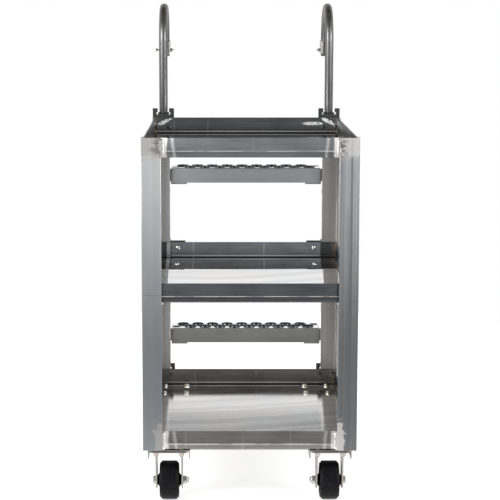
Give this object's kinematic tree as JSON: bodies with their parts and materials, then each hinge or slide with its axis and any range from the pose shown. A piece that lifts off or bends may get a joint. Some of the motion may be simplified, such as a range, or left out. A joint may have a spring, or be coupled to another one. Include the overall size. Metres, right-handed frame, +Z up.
{
  "type": "mobile ladder stand",
  "caption": "Aluminium three-tray cart on casters with a spring-held ladder, perforated steps and cane handrails at its rear end.",
  "frame": {"origin": "on the floor under the middle of the whole stand", "axes": "+Z up, front end faces -Y, ladder on the rear end at +Y, +X to the right seen from the front"},
  "size_m": [0.5588, 0.9746, 1.3025],
  "materials": {
    "tray_sheet": "bright mill sheet, mirror-like floors, scuffed lips",
    "post_angle": "extruded mill finish with fine upright streaks",
    "rail_tube": "drawn tube, satin",
    "bracket_aluminium": "mill finish",
    "step_aluminium": "pressed mill sheet",
    "zinc_steel": "zinc plated, faintly yellow",
    "spring_steel": "bright drawn wire",
    "wheel": "moulded black polyolefin",
    "foot_rubber": "matt black",
    "cap_plastic": "black plug"
  },
  "bodies": {
    "frame": {"post_front_left": "post_angle", "post_front_right": "post_angle", "post_rear_left": "post_angle", "post_rear_right": "post_angle", "tray_top": "tray_sheet", "tray_middle": "tray_sheet", "tray_bottom": "tray_sheet", "caster_channel_left": "bracket_aluminium", "caster_channel_right": "bracket_aluminium", "guide_top_left": "bracket_aluminium", "guide_top_right": "bracket_aluminium", "guide_middle_left": "bracket_aluminium", "guide_middle_right": "bracket_aluminium", "guide_bottom_left": "bracket_aluminium", "guide_bottom_right": "bracket_aluminium", "spring_left": "spring_steel", "spring_right": "spring_steel", "front_caster_frame_left": "zinc_steel", "front_caster_frame_right": "zinc_steel", "front_axle_bolt_left": "zinc_steel", "front_axle_bolt_right": "zinc_steel", "front_axle_nut_left": "zinc_steel", "front_axle_nut_right": "zinc_steel", "rear_caster_plate_left": "zinc_steel", "rear_caster_plate_right": "zinc_steel"},
    "ladder": {"rail_left": "rail_tube", "rail_right": "rail_tube", "step_top": "step_aluminium", "step_middle": "step_aluminium", "step_bottom": "step_aluminium", "step_end_top_left": "bracket_aluminium", "step_end_top_right": "bracket_aluminium", "step_end_middle_left": "bracket_aluminium", "step_end_middle_right": "bracket_aluminium", "step_end_bottom_left": "bracket_aluminium", "step_end_bottom_right": "bracket_aluminium", "foot_left": "foot_rubber", "foot_right": "foot_rubber", "stop_collar_left": "zinc_steel", "stop_collar_right": "zinc_steel", "spring_collar_left": "zinc_steel", "spring_collar_right": "zinc_steel", "handrail_cap_left": "cap_plastic", "handrail_cap_right": "cap_plastic", "hanger_plate_left": "zinc_steel", "hanger_plate_right": "zinc_steel", "hanger_bolt_left": "zinc_steel", "hanger_bolt_right": "zinc_steel"},
    "front_wheel_left": {"front_wheel_left": "wheel"},
    "front_wheel_right": {"front_wheel_right": "wheel"},
    "rear_swivel_left": {"rear_caster_fork_left": "zinc_steel", "rear_axle_bolt_left": "zinc_steel", "rear_axle_nut_left": "zinc_steel"},
    "rear_wheel_left": {"rear_wheel_left": "wheel"},
    "rear_swivel_right": {"rear_caster_fork_right": "zinc_steel", "rear_axle_bolt_right": "zinc_steel", "rear_axle_nut_right": "zinc_steel"},
    "rear_wheel_right": {"rear_wheel_right": "wheel"}
  },
  "joints": [
    {"name": "ladder_slide", "type": "slide", "parent": "frame", "child": "ladder", "axis": [0, 0, 1], "range_m": [-0.0762, 0], "stiffness_N_per_m": 1500, "springref_m": 0.055, "deforming": ["spring_left", "spring_right"]},
    {"name": "front_wheel_left_spin", "type": "hinge", "parent": "frame", "child": "front_wheel_left", "pos_m": [-0.212, -0.42725, 0.0508], "axis": [1, 0, 0], "continuous": true},
    {"name": "front_wheel_right_spin", "type": "hinge", "parent": "frame", "child": "front_wheel_right", "pos_m": [0.212, -0.42725, 0.0508], "axis": [1, 0, 0], "continuous": true},
    {"name": "rear_swivel_left_turn", "type": "hinge", "parent": "frame", "child": "rear_swivel_left", "pos_m": [-0.212, 0.17235, 0.13], "axis": [0, 0, 1], "continuous": true},
    {"name": "rear_wheel_left_spin", "type": "hinge", "parent": "rear_swivel_left", "child": "rear_wheel_left", "pos_m": [-0.212, 0.20235, 0.0508], "axis": [1, 0, 0], "continuous": true},
    {"name": "rear_swivel_right_turn", "type": "hinge", "parent": "frame", "child": "rear_swivel_right", "pos_m": [0.212, 0.17235, 0.13], "axis": [0, 0, 1], "continuous": true},
    {"name": "rear_wheel_right_spin", "type": "hinge", "parent": "rear_swivel_right", "child": "rear_wheel_right", "pos_m": [0.212, 0.20235, 0.0508], "axis": [1, 0, 0], "continuous": true}
  ]
}
